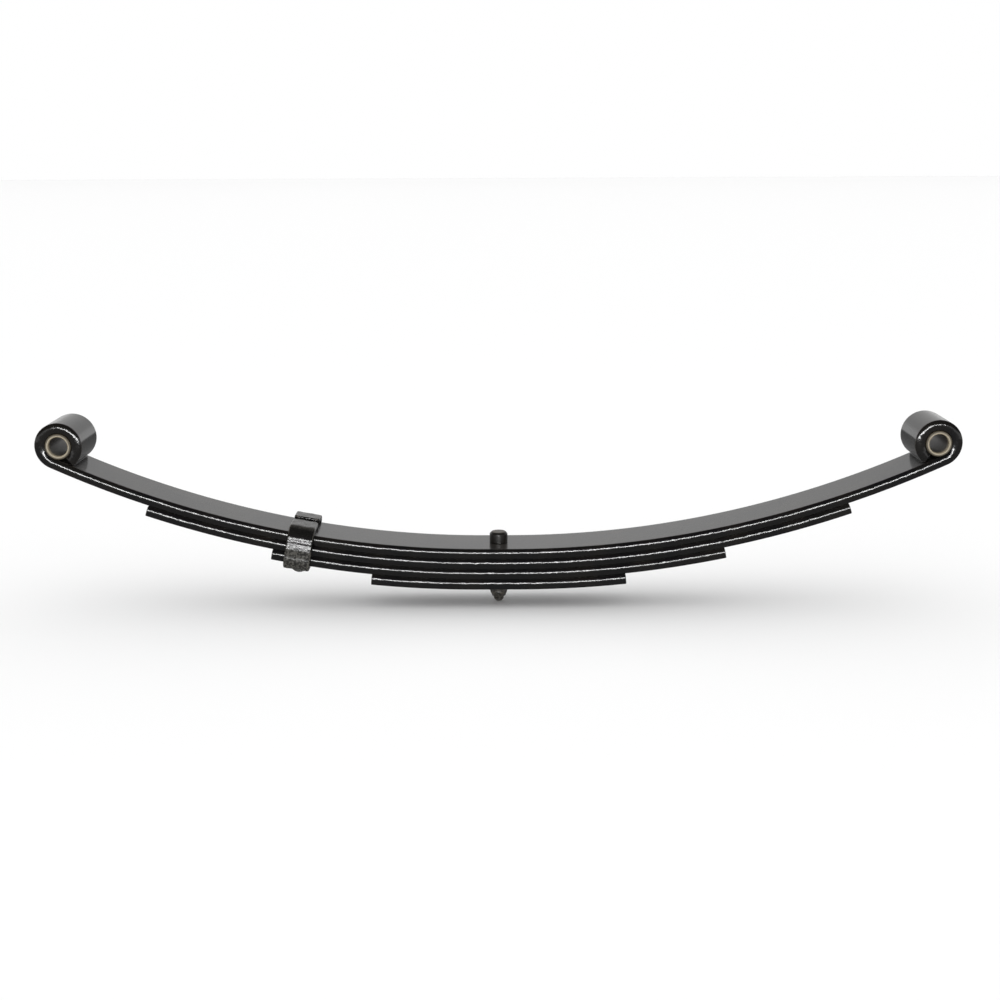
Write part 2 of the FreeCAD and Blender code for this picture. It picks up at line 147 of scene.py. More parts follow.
class Graph:
    """A node tree with one way to add a node."""

    def __init__(self, tree: bpy.types.NodeTree) -> None:
        """Start from an empty tree.

        Args:
            tree: node tree of a material or a world.
        """
        self.tree = tree
        tree.nodes.clear()

    def node(self, kind: str, settings: Optional[Dict[str, Any]] = None,
             inputs: Optional[Dict[Union[str, int], Any]] = None) -> bpy.types.Node:
        """Add a node, give it its settings, then fill its sockets.

        Args:
            kind: node type.
            settings: properties such as a Math node's operation.
            inputs: socket name or number to a Value to link or a plain value to store.

        Returns:
            The node.
        """
        made = self.tree.nodes.new(kind)
        for key, setting in (settings or {}).items():
            setattr(made, key, setting)
        for key, given in (inputs or {}).items():
            if isinstance(given, Value):
                self.tree.links.new(given.socket, made.inputs[key])
            else:
                made.inputs[key].default_value = given
        return made

    def out(self, node: bpy.types.Node, output: Union[str, int] = 0) -> Value:
        """One output of a node as a Value."""
        return Value(self, node.outputs[output])

    def math(self, operation: str, first: Number, second: Number) -> Value:
        """Math node on two numbers or values."""
        return self.out(self.node("ShaderNodeMath", {"operation": operation}, {0: first, 1: second}))

    def step(self, value: Value, low: float, high: float) -> Value:
        """Smooth rise from 0 at low to 1 at high."""
        inputs = {"Value": value, "From Min": low, "From Max": high}
        return self.out(self.node("ShaderNodeMapRange", {"interpolation_type": "SMOOTHSTEP"}, inputs))

    def mix(self, factor: Number, first: Union[Colour, Value], second: Union[Colour, Value]) -> Value:
        """Blend of two colours, the first where factor is 0."""
        node = self.node("ShaderNodeMix", {"data_type": "RGBA"}, {0: factor, 6: first, 7: second})
        return self.out(node, 2)

    def position(self) -> Value:
        """Place on the piece in metres."""
        return self.out(self.node("ShaderNodeTexCoord"), "Object")

    def stretched(self, place: Value, scale: Tuple[float, float, float]) -> Value:
        """Place with each axis scaled, for a pattern that is longer one way."""
        inputs = {0: place, 1: scale}
        return self.out(self.node("ShaderNodeVectorMath", {"operation": "MULTIPLY"}, inputs))

    def noise(self, place: Value, per_metre: float, detail: float = 2.0,
              roughness: float = 0.5) -> Value:
        """Soft noise from 0 to 1.

        Args:
            place: position that drives the pattern.
            per_metre: how many features there are to the metre.
            detail: octaves.
            roughness: strength of each finer octave.

        Returns:
            The noise.
        """
        inputs = {"Vector": place, "Scale": per_metre, "Detail": detail, "Roughness": roughness}
        return self.out(self.node("ShaderNodeTexNoise", {}, inputs), 0)

    def attribute(self, name: str) -> Value:
        """Number stored on the piece's vertices."""
        return self.out(self.node("ShaderNodeAttribute", {"attribute_name": name}), "Fac")

    def upward(self) -> Value:
        """Z part of the surface's direction: 1 facing up, -1 facing down."""
        normal = self.out(self.node("ShaderNodeNewGeometry"), "Normal")
        return self.out(self.node("ShaderNodeSeparateXYZ", {}, {0: normal}), "Z")

    def bump(self, height: Value, depth: float) -> Value:
        """Surface direction over a relief.

        Args:
            height: relief, about 0 to 1.
            depth: metres that a height of 1 stands for.

        Returns:
            The direction.
        """
        return self.out(self.node("ShaderNodeBump", {}, {"Height": height, "Distance": depth}))


def finish_surface(name: str, build: Callable[[Graph], Dict[str, Any]]) -> bpy.types.Material:
    """Material with one Principled shader.

    Args:
        name: material name.
        build: method that is given the graph and returns the shader's inputs.

    Returns:
        The material.
    """
    made = bpy.data.materials.new(name)
    made.use_nodes = True
    graph = Graph(made.node_tree)
    shader = graph.node("ShaderNodeBsdfPrincipled", {}, build(graph))
    graph.node("ShaderNodeOutputMaterial", {}, {"Surface": graph.out(shader)})
    return made


@dataclass(frozen=True)
class Enamel:
    """Black enamel over steel: orange peel, runs, dust on top and wear along the corners."""

    name: str
    deep: Colour
    thin: Colour
    worn: Colour
    dust: Colour
    gloss: float
    dullness: float
    peel_per_metre: float
    peel_depth: float
    edge_peel: float
    dust_amount: float
    scuff_amount: float
    wear_amount: float
    reflectance: float
    wave_per_metre: float = 170.0
    fine_per_metre: float = 2600.0
    speckle_per_metre: float = 560.0

    def inputs(self, graph: Graph) -> Dict[str, Any]:
        """Shader inputs.

        The relief is broad peel and fine grain, with a slow wave on the rolled edges.  Dust
        lies where the surface faces up; scuffing is speckled and follows its own attribute;
        wear shows where noise is high near a corner.

        Args:
            graph: node tree to build in.

        Returns:
            Socket names to values.
        """
        place = graph.position()
        corner = graph.attribute("corner")
        edge = graph.attribute("edge")
        cloud = graph.noise(place, 38.0, 3.0)
        peel = graph.noise(place, self.peel_per_metre, 2.0)
        grain = graph.noise(place, self.peel_per_metre * 2.4, 2.0, 0.5)
        wave = graph.noise(place, self.wave_per_metre, 2.0, 0.6)
        fine = graph.noise(place, self.fine_per_metre, 2.0, 0.6)
        streak = graph.noise(graph.stretched(place, (1.0, 0.12, 1.0)), 240.0, 4.0, 0.6)
        speckle = graph.step(graph.noise(place, self.speckle_per_metre, 2.0, 0.6), 0.44, 0.60)
        scuff = graph.attribute("scuff") * (speckle * 0.8 + 0.2)
        top = graph.step(graph.upward(), 0.70, 0.98)
        dusty = graph.step(streak * 0.4 + fine * 0.4 + cloud * 0.2, 0.30, 0.76) * top * self.dust_amount
        worn = graph.step(fine * 0.55 + cloud * 0.2 + corner * 0.5, 0.80, 0.92)
        worn = worn * corner * self.wear_amount
        colour = graph.mix(graph.step(cloud, 0.35, 0.7), self.deep, self.thin)
        colour = graph.mix(dusty, colour, self.dust)
        colour = graph.mix(scuff * self.scuff_amount, colour, self.dust)
        colour = graph.mix(worn, colour, self.worn)
        rough = (self.gloss + self.dullness * (cloud * 0.3 + grain * 0.3 + streak * 0.4)
                 + dusty * 0.35 + worn * 0.3 + scuff * 0.12)
        relief = (peel * 0.7 + grain * 0.3 + edge * (wave + peel * 0.4 - 0.7) * self.edge_peel
                  - worn * 0.3)
        return {
            "Base Color": colour,
            "Roughness": rough,
            "Specular IOR Level": self.reflectance,
            "Normal": graph.bump(relief, self.peel_depth),
        }

    def make(self) -> bpy.types.Material:
        """The finish as a material."""
        return finish_surface(self.name, self.inputs)


@dataclass(frozen=True)
class Nylon:
    """Cream nylon, dull and stained on the outer rim, with painted shade darkening the bore."""

    name: str = "bush_nylon"
    clean: Colour = (0.40, 0.345, 0.245, 1.0)
    stained: Colour = (0.105, 0.086, 0.055, 1.0)
    # Colour of the painted shade deep inside the bore.
    bore_shade: Colour = (0.060, 0.052, 0.042, 1.0)

    def inputs(self, graph: Graph) -> Dict[str, Any]:
        """Shader inputs: stains by noise, and painted shade in the bore that deepens with distance from its
        mouth.

        Args:
            graph: node tree to build in.

        Returns:
            Socket names to values.
        """
        place = graph.position()
        rim = graph.attribute("rim")
        bore = graph.attribute("bore")
        blotch = graph.noise(place, 420.0, 4.0, 0.6)
        fine = graph.noise(place, 2400.0, 2.0)
        stain = graph.step(rim * 0.8 + blotch * 0.5, 0.40, 0.85)
        colour = graph.mix(stain, self.clean, self.stained)
        # Painted shade: the bore darkens with depth from its mouth, standing in for the shadow inside the
        # bush.
        colour = graph.mix(bore, colour, self.bore_shade)
        return {
            "Base Color": colour,
            "Roughness": 0.38 + blotch * 0.2,
            "Normal": graph.bump(blotch * 0.6 + fine * 0.4, 0.05 * MM),
        }

    def make(self) -> bpy.types.Material:
        """The finish as a material."""
        return finish_surface(self.name, self.inputs)


@dataclass(frozen=True)
class StudioFloor:
    """Matt pale floor."""

    name: str = "studio_floor"
    colour: Colour = (0.93, 0.93, 0.93, 1.0)

    def inputs(self, graph: Graph) -> Dict[str, Any]:
        """Shader inputs."""
        return {"Base Color": self.colour, "Roughness": 0.9, "Specular IOR Level": 0.1}

    def make(self) -> bpy.types.Material:
        """The finish as a material."""
        return finish_surface(self.name, self.inputs)


LEAF_ENAMEL = Enamel(
    name="leaf_enamel",
    deep=(0.0050, 0.0050, 0.0056, 1.0),
    thin=(0.0100, 0.0088, 0.0075, 1.0),
    worn=(0.1200, 0.1000, 0.0800, 1.0),
    dust=(0.1500, 0.1400, 0.1300, 1.0),
    gloss=0.09,
    dullness=0.09,
    peel_per_metre=420.0,
    peel_depth=0.030 * MM,
    edge_peel=6.0,
    dust_amount=0.26,
    scuff_amount=0.0,
    wear_amount=0.55,
    reflectance=0.5,
)
CLIP_ENAMEL = Enamel(
    name="clip_enamel",
    deep=(0.0055, 0.0055, 0.0056, 1.0),
    thin=(0.0100, 0.0094, 0.0084, 1.0),
    worn=(0.2000, 0.1700, 0.1350, 1.0),
    dust=(0.1380, 0.1310, 0.1130, 1.0),
    gloss=0.12,
    dullness=0.10,
    peel_per_metre=620.0,
    peel_depth=0.15 * MM,
    edge_peel=0.3,
    dust_amount=0.35,
    scuff_amount=0.62,
    wear_amount=0.8,
    reflectance=0.5,
)
FASTENER_ENAMEL = Enamel(
    name="fastener_enamel",
    deep=(0.0080, 0.0078, 0.0072, 1.0),
    thin=(0.0160, 0.0142, 0.0115, 1.0),
    worn=(0.2300, 0.1900, 0.1450, 1.0),
    dust=(0.1700, 0.1500, 0.1200, 1.0),
    gloss=0.20,
    dullness=0.22,
    peel_per_metre=620.0,
    peel_depth=0.14 * MM,
    edge_peel=0.3,
    dust_amount=0.7,
    scuff_amount=0.72,
    wear_amount=0.85,
    reflectance=0.5,
)


# ---- surfaces ---------------------------------------------------------------------------


@dataclass(frozen=True)
class Run:
    """One stretch of a path: straight for a length, or turning left on a radius."""

    steps: int
    length: float = 0.0
    radius: float = 0.0
    turn: float = 0.0


def trace(start: Tuple[float, float], heading: float, runs: Sequence[Run]) -> Tuple[Array, Array]:
    """Points and headings along a path of straights and left-hand arcs.

    On an arc of radius r about centre c the point at heading h is c + r (sin h, -cos h).

    Args:
        start: first point in the path's plane.
        heading: first direction, in radians.
        runs: the stretches in order.

    Returns:
        Points of shape (n, 2) and headings of shape (n,).
    """
    points = [np.array([start])]
    headings = [np.array([heading])]
    for run in runs:
        last, way = points[-1][-1], headings[-1][-1]
        share = np.arange(1, run.steps + 1) / run.steps
        if run.turn:
            centre = last + run.radius * np.array([-math.sin(way), math.cos(way)])
            ways = way + run.turn * share
            points.append(centre + run.radius * np.stack([np.sin(ways), -np.cos(ways)], 1))
            headings.append(ways)
        else:
            along = run.length * share[:, None]
            points.append(last + along * np.array([math.cos(way), math.sin(way)]))
            headings.append(np.full(run.steps, way))
    return np.concatenate(points), np.concatenate(headings)


@dataclass(frozen=True)
class Outline:
    """Closed section, symmetric top to bottom, that starts at the middle of its left side.

    Columns are across and height; normals point outwards.
    """

    points: Array
    normals: Array
    corner: Array
    edge: Array


def mirrored_outline(upper: Array, normals: Array, corner: Array, edge: Array) -> Outline:
    """Whole outline from its upper half, given from the left middle to the right middle.

    Args:
        upper: points of shape (n, 2), height measured from mid-thickness.
        normals: outward directions.
        corner: 1 at the corners, 0 on the faces.
        edge: 1 on the rolled edges, 0 on the flats.

    Returns:
        The outline of 2n - 2 points.
    """
    flip = np.array([1.0, -1.0])
    back = slice(-2, 0, -1)
    return Outline(
        np.concatenate([upper, upper[back] * flip]),
        np.concatenate([normals, normals[back] * flip]),
        np.concatenate([corner, corner[back]]),
        np.concatenate([edge, edge[back]]),
    )


def bar_outline(half_width: float, half_thick: float, edge_radius: float, corner_radius: float,
                flats: Array) -> Outline:
    """Flat bar with rolled edges: big edge arcs joined to the flats by small corner arcs.

    The edge arc has its centre on mid-thickness; the corner arc touches it and the flat, so
    its centre is at height half_thick - corner_radius and at angle
    asin((half_thick - corner_radius) / (edge_radius - corner_radius)) on the edge arc.

    Args:
        half_width: half of the width over the edges.
        half_thick: half of the thickness.
        edge_radius: radius of each rolled edge.
        corner_radius: radius of the corner between edge and flat.
        flats: places across the flat as shares from -1 to 1.

    Returns:
        The outline.
    """
    hub = half_width - edge_radius
    reach = edge_radius - corner_radius
    rise = math.asin((half_thick - corner_radius) / reach)
    swing = np.linspace(0.0, rise, 9)
    turn = np.linspace(rise, math.pi / 2, 8)[1:]
    roll = np.stack([hub + edge_radius * np.cos(swing), edge_radius * np.sin(swing)], 1)
    knee = np.array([hub + reach * math.cos(rise), reach * math.sin(rise)])
    bend = knee + corner_radius * np.stack([np.cos(turn), np.sin(turn)], 1)
    angles = np.concatenate([swing, turn])
    right = np.concatenate([roll, bend])
    right_normals = np.stack([np.cos(angles), np.sin(angles)], 1)
    middle = np.stack([flats * knee[0], np.full(flats.size, half_thick)], 1)
    middle_normals = np.tile([0.0, 1.0], (flats.size, 1))
    mirror = np.array([-1.0, 1.0])
    near = np.clip(1.0 - np.abs(angles - (rise + math.pi / 2) / 2) / 0.9, 0.0, 1.0)
    rolled = 1.0 - np.clip((angles - rise) / (math.pi / 2 - rise), 0.0, 1.0)
    plain = np.zeros(flats.size)
    return mirrored_outline(
        np.concatenate([right * mirror, middle, right[::-1]]),
        np.concatenate([right_normals * mirror, middle_normals, right_normals[::-1]]),
        np.concatenate([near, plain, near[::-1]]),
        np.concatenate([rolled, plain, rolled[::-1]]),
    )


@dataclass(frozen=True)
class Skin:
    """Grid of points with the numbers that its finish reads."""

    points: Array
    corner: Array
    edge: Array


def sweep(path: Array, headings: Array, outline: Outline, round_start: float,
          round_end: float) -> Skin:
    """Carry an outline along a plane path, with rounded ends where a radius is given.

    A point is path + height * left normal, with the across part kept.  A rounded end of
    radius r adds rows at r sin a past the path's end with the outline drawn in by
    r (1 - cos a), for a from 0 to a right angle.

    Args:
        path: points of shape (n, 2); the sweep's ends stand past it by the end radii.
        headings: direction at each point.
        outline: section.
        round_start: radius of the rounding at the first end, or 0.
        round_end: radius of the rounding at the last end, or 0.

    Returns:
        Grid of shape (rows, points, 3) in the order along, across, up.
    """
    rows = [(path, headings, np.zeros(len(path)))]
    angles = np.linspace(0.0, math.pi / 2, 7)[1:]
    for radius, index, sign in ((round_start, 0, -1.0), (round_end, -1, 1.0)):
        if radius:
            way = headings[index]
            ahead = sign * np.array([math.cos(way), math.sin(way)])
            past = path[index] + radius * np.sin(angles)[:, None] * ahead
            added = (past, np.full(angles.size, way), radius * (1.0 - np.cos(angles)))
            if sign < 0:
                rows.insert(0, tuple(part[::-1] for part in added))
            else:
                rows.append(added)
    place, way, inset = (np.concatenate(parts) for parts in zip(*rows))
    shape = outline.points[None] - inset[:, None, None] * outline.normals[None]
    left = np.stack([-np.sin(way), np.cos(way)], 1)
    plane = place[:, None] + shape[..., 1:] * left[:, None]
    points = np.concatenate([plane[..., :1], shape[..., :1], plane[..., 1:]], 2)
    worn_end = (inset > 0)[:, None] * 0.7
    corner = np.clip(outline.corner[None] + worn_end, 0.0, 1.0)
    edge = np.broadcast_to(outline.edge[None], corner.shape)
    return Skin(points, corner, edge)


def soften(profile: Sequence[Tuple[float, float]], radius: float, steps: int = 5) -> Array:
    """Open profile with each inner corner rounded.

    Each corner becomes a parabola: start (1-t)^2 + 2 corner t (1-t) + end t^2, with its ends
    at the radius along both sides, or at 0.45 of a shorter side.

    Args:
        profile: corners in order.
        radius: how far from the corner the rounding starts.
        steps: points on each corner.

    Returns:
        Points of shape (n, 2).
    """
    corners = np.array(profile, float)
    before, here, after = corners[:-2], corners[1:-1], corners[2:]
    back, ahead = before - here, after - here
    back_size = np.linalg.norm(back, axis=1, keepdims=True)
    ahead_size = np.linalg.norm(ahead, axis=1, keepdims=True)
    first = here + back / back_size * np.minimum(radius, 0.45 * back_size)
    last = here + ahead / ahead_size * np.minimum(radius, 0.45 * ahead_size)
    share = np.linspace(0.0, 1.0, steps)[None, :, None]
    arcs = (first[:, None] * (1 - share) ** 2 + 2 * here[:, None] * share * (1 - share)
            + last[:, None] * share ** 2)
    return np.concatenate([corners[:1], arcs.reshape(-1, 2), corners[-1:]])


def refine(profile: Array, gap: float) -> Array:
    """Profile with extra points so that no two are further apart than the gap.

    Args:
        profile: points of shape (n, 2).
        gap: largest spacing.

    Returns:
        The denser profile.
    """
    size = np.linalg.norm(np.diff(profile, axis=0), axis=1)
    count = np.maximum(1, np.ceil(size / gap).astype(int))
    along = np.concatenate([[0.0], np.cumsum(size)])
    span = np.repeat(np.arange(size.size), count)
    share = (np.arange(count.sum()) - np.repeat(np.cumsum(count) - count, count)) / count[span]
    places = np.append(along[span] + share * size[span], along[-1])
    return np.stack([np.interp(places, along, profile[:, i]) for i in (0, 1)], 1)


class Ends(Enum):
    """How the first and last rows of a grid are closed."""

    STRIPS = "strips between the outline's upper and lower halves"
    POLES = "fans to one point"
    JOINED = "last row joined to the first"


def mesh_piece(name: str, points: Array, ends: Ends, numbers: Dict[str, Array]) -> bpy.types.Object:
    """Closed mesh from a grid of points, with its faces turned outwards.

    Rows are joined to their neighbours, each row to itself, and the ends as asked.  The
    faces are reversed if the volume that they enclose comes out negative.

    Args:
        name: name of the piece.
        points: grid of shape (rows, columns, 3).
        ends: how the first and last rows are closed.
        numbers: values for the finish, by attribute name, of shape (rows, columns).

    Returns:
        The object, at the origin.
    """
    rows, columns = points.shape[:2]
    index = np.arange(rows * columns).reshape(rows, columns)
    vertices = points.reshape(-1, 3)
    lower = index if ends is Ends.JOINED else index[:-1]
    upper = np.roll(index, -1, axis=0)[:len(lower)]
    faces = [np.stack([lower, np.roll(lower, -1, 1), np.roll(upper, -1, 1), upper], -1).reshape(-1, 4)]
    extra = {key: grid.reshape(-1) for key, grid in numbers.items()}
    if ends is Ends.STRIPS:
        half = np.arange(1, columns // 2)
        for row, flip in ((index[0], False), (index[-1], True)):
            a, b = row[half[:-1]], row[half[1:]]
            c, d = row[columns - half[1:]], row[columns - half[:-1]]
            strip = np.stack([a, d, c, b], -1)
            tips = np.array([[row[0], row[-1], row[1], row[1]],
                             [row[columns // 2 - 1], row[columns // 2 + 1],
                              row[columns // 2], row[columns // 2]]])
            both = np.concatenate([strip, tips])
            faces.append(both[:, ::-1] if flip else both)
    elif ends is Ends.POLES:
        poles = np.array([points[0].mean(0), points[-1].mean(0)])
        vertices = np.concatenate([vertices, poles])
        extra = {key: np.concatenate([flat, [numbers[key][0].mean(), numbers[key][-1].mean()]])
                 for key, flat in extra.items()}
        for row, pole, flip in ((index[0], rows * columns, False), (index[-1], rows * columns + 1, True)):
            top = np.full(columns, pole)
            fan = np.stack([np.roll(row, -1), row, top, top], -1)
            faces.append(fan[:, ::-1] if flip else fan)
    quads = np.concatenate(faces)
    corners = vertices[quads]
    volume = (np.einsum("ij,ij->i", corners[:, 0], np.cross(corners[:, 1], corners[:, 2])).sum()
              + np.einsum("ij,ij->i", corners[:, 0], np.cross(corners[:, 2], corners[:, 3])).sum())
    if volume < 0:
        quads = quads[:, ::-1]
    repeat = quads == np.roll(quads, 1, axis=1)
    mesh = bpy.data.meshes.new(name)
    kept = [face[~same].tolist() for face, same in zip(quads, repeat)]
    mesh.from_pydata(vertices.tolist(), [], kept)
    for key, flat in extra.items():
        mesh.attributes.new(key, "FLOAT", "POINT").data.foreach_set("value", flat.astype(np.float32))
    mesh.polygons.foreach_set("use_smooth", np.ones(len(mesh.polygons), bool))
    mesh.set_sharp_from_angle(angle=math.radians(38.0))
    mesh.update()
    piece = bpy.data.objects.new(name, mesh)
    bpy.context.scene.collection.objects.link(piece)
    return piece


def revolve(profile: Array, segments: int) -> Array:
    """Turn a profile of (radius, height) about the Z axis.

    A point is (r cos a, r sin a, z).

    Args:
        profile: points of shape (n, 2).
        segments: columns round the axis.

    Returns:
        Grid of shape (n, segments, 3).
    """
    angle = np.arange(segments) / segments * 2 * math.pi
    radius, height = profile[:, :1], profile[:, 1:]
    return np.stack([radius * np.cos(angle), radius * np.sin(angle),
                     np.broadcast_to(height, (len(profile), segments))], 2)


def ripple(points: Array, size: float, wave: float, phase: float) -> Array:
    """Slight hand-made unevenness: the product of three sines of the place.

    Args:
        points: places of shape (..., 3).
        size: largest shift.
        wave: wavelength.
        phase: start of the waves.

    Returns:
        Shift of shape (...).
    """
    turn = 2 * math.pi / wave
    x, y, z = np.moveaxis(points, -1, 0)
    return size * (np.sin(turn * x + phase) * np.cos(turn * 0.83 * y + 2 * phase)
                   + np.sin(turn * 1.31 * z + 3 * phase)) / 2


def enlist(piece: bpy.types.Object, nodes: Sequence[str],
           finish: bpy.types.Material) -> None:
    """Dress a piece, hide the CAD nodes that it stands for, and report it.

    Args:
        piece: the piece.
        nodes: CAD nodes that it stands for.
        finish: its material.
    """
    piece.data.materials.append(finish)
    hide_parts(*nodes)
    LOG.info("%s: %d faces", piece.name, len(piece.data.polygons))


# ---- leaves -----------------------------------------------------------------------------


@dataclass(frozen=True)
class Leaf:
    """One leaf: its place in the pack, its straight centre and its half length."""

    name: str
    level: int
    flat: float
    half: float


@dataclass
class LeafPack:
    """Four leaves of one section bent to concentric arcs; the longest ends in rolled eyes."""

    width: float = 44.45 * MM
    thick: float = 7.8 * MM
    bulge: float = 1.2 * MM
    corner: float = 0.75 * MM
    tip: float = 0.55 * MM
    arch_radius: float = 745.0 * MM
    eye_spacing: float = 641.35 * MM
    eye_radius: float = 9.5 * MM
    eye_wrap: float = math.radians(300.0)
    hole_radius: float = 4.2 * MM
    bend_start: float = 10.0 * MM
    bend_end: float = 300.0 * MM
    leaves: List[Leaf] = field(default_factory=lambda: [
        Leaf("main_leaf", 0, 10.0 * MM, 0.0),
        Leaf("second_leaf", 1, 10.9030 * MM, 257.5 * MM),
        Leaf("third_leaf", 2, 12.3248 * MM, 167.2 * MM),
        Leaf("fourth_leaf", 3, 14.9792 * MM, 94.2 * MM),
    ])

    def outline(self) -> Outline:
        """Section of every leaf, with columns gathered where the bolt hole cuts it."""
        edge_radius = (self.thick ** 2 / 4 + self.bulge ** 2) / (2 * self.bulge)
        half = self.width / 2 - self.bulge
        hole = self.hole_radius / half
        round_hole = hole * np.sin(np.linspace(-math.pi / 2, math.pi / 2, 15))
        outside = np.linspace(hole, 1.0, 9)[1:-1]
        flats = np.concatenate([-outside[::-1], round_hole, outside])
        return bar_outline(self.width / 2, self.thick / 2, edge_radius, self.corner, flats)

    def spine(self, leaf: Leaf) -> Tuple[Array, Array]:
        """Mid-line of the right half of a leaf: flat, arch and, on the main leaf, the eye.

        Args:
            leaf: which leaf.

        Returns:
            Points and headings; the last run stops short by the tip's rounding.
        """
        mid = self.arch_radius + (leaf.level + 0.5) * self.thick
        flat = Run(6, length=leaf.flat)
        start = (0.0, -(leaf.level + 0.5) * self.thick)
        top = self.arch_radius + leaf.level * self.thick
        if leaf.half:
            rise = math.asin((leaf.half - leaf.flat) / top) - self.tip / mid
            steps = max(20, round(rise * mid / (3.0 * MM)))
            return trace(start, 0.0, [flat, Run(steps, radius=mid, turn=rise)])
        rise = math.asin((self.eye_spacing / 2 - leaf.flat) / (top - self.eye_radius))
        bend = self.eye_radius + self.thick / 2
        wrap = self.eye_wrap - self.tip / bend
        return trace(start, 0.0, [flat, Run(110, radius=mid, turn=rise),
                                  Run(84, radius=bend, turn=wrap)])

    def half_leaf(self, leaf: Leaf, side: Side) -> bpy.types.Object:
        """One half of a leaf, from the bolt's axis to the tip.

        The first rows are moved along by sqrt(r^2 - across^2) within the bolt hole's radius
        r, fading out over the flat, so two halves leave a round hole between them.

        Args:
            leaf: which leaf.
            side: which end of the spring.

        Returns:
            The piece.
        """
        path, headings = self.spine(leaf)
        skin = sweep(path, headings, self.outline(), 0.0, self.tip)
        points = skin.points
        across = points[0, :, 1]
        notch = np.sqrt(np.clip(self.hole_radius ** 2 - across ** 2, 0.0, None))
        fade = np.clip(1.0 - points[:, :1, 0] / leaf.flat, 0.0, 1.0)
        fade[8:] = 0.0
        points[..., 0] += fade * notch
        points[..., 0] *= side.value
        numbers = {"corner": skin.corner, "edge": skin.edge}
        return mesh_piece("%s_%s" % (leaf.name, side.word), points, Ends.STRIPS, numbers)

    def build(self) -> None:
        """Make both halves of every leaf and bake each in place."""
        finish = LEAF_ENAMEL.make()
        for leaf in self.leaves:
            for side in Side:
                piece = self.half_leaf(leaf, side)
                enlist(piece, [leaf.name], finish)
                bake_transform(piece)


# ---- eye bushes -------------------------------------------------------------------------


@dataclass
class EyeBushes:
    """Nylon bushes in the two eyes, with a bevelled outside and a softened bore mouth."""

    bevel: float = 0.5 * MM
    mouth: float = 0.45 * MM
    bore_radius: float = 7.15 * MM
    segments: int = 128

    def bush(self, side: Side) -> bpy.types.Object:
        """One bush, turned about its eye's axis.

        Args:
            side: which end of the spring.

        Returns:
            The piece.
        """
        low, high = (np.array(corner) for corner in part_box("%s_eye_bush" % side.word))
        centre, size = (low + high) / 2, high - low
        radius, length = size[0] / 2, size[1]
        end = length / 2
        bore, mouth = self.bore_radius, self.mouth
        half = [(bore, 0.0), (bore, end - mouth), (bore + mouth, end), (radius - self.bevel, end),
                (radius, end - self.bevel), (radius, 0.0)]
        outer = refine(soften(half, 0.25 * MM), 0.9 * MM)
        profile = np.concatenate([outer, (outer * [1.0, -1.0])[-2:0:-1]])
        turned = revolve(profile, self.segments)
        points = centre + turned[..., [0, 2, 1]]
        depth = end - np.abs(profile[:, 1:])
        inside = profile[:, :1] < bore + 0.02 * MM
        wide = np.ones((1, self.segments))
        numbers = {
            # bore: mask of the painted shade, rising with depth into the bore.
            "bore": inside * np.clip((depth - 1.2 * MM) / (4.0 * MM), 0.0, 1.0) * wide,
            "rim": np.clip((profile[:, :1] - bore - 0.8 * MM) / (0.8 * MM), 0.0, 1.0) * wide,
        }
        return mesh_piece("%s_bush" % side.word, points, Ends.JOINED, numbers)

    def build(self) -> None:
        """Make both bushes and press each into its eye."""
        finish = Nylon().make()
        for side in Side:
            piece = self.bush(side)
            enlist(piece, ["%s_eye_bush" % side.word], finish)
            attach(piece, side.body.value)


# ---- centre bolt ------------------------------------------------------------------------


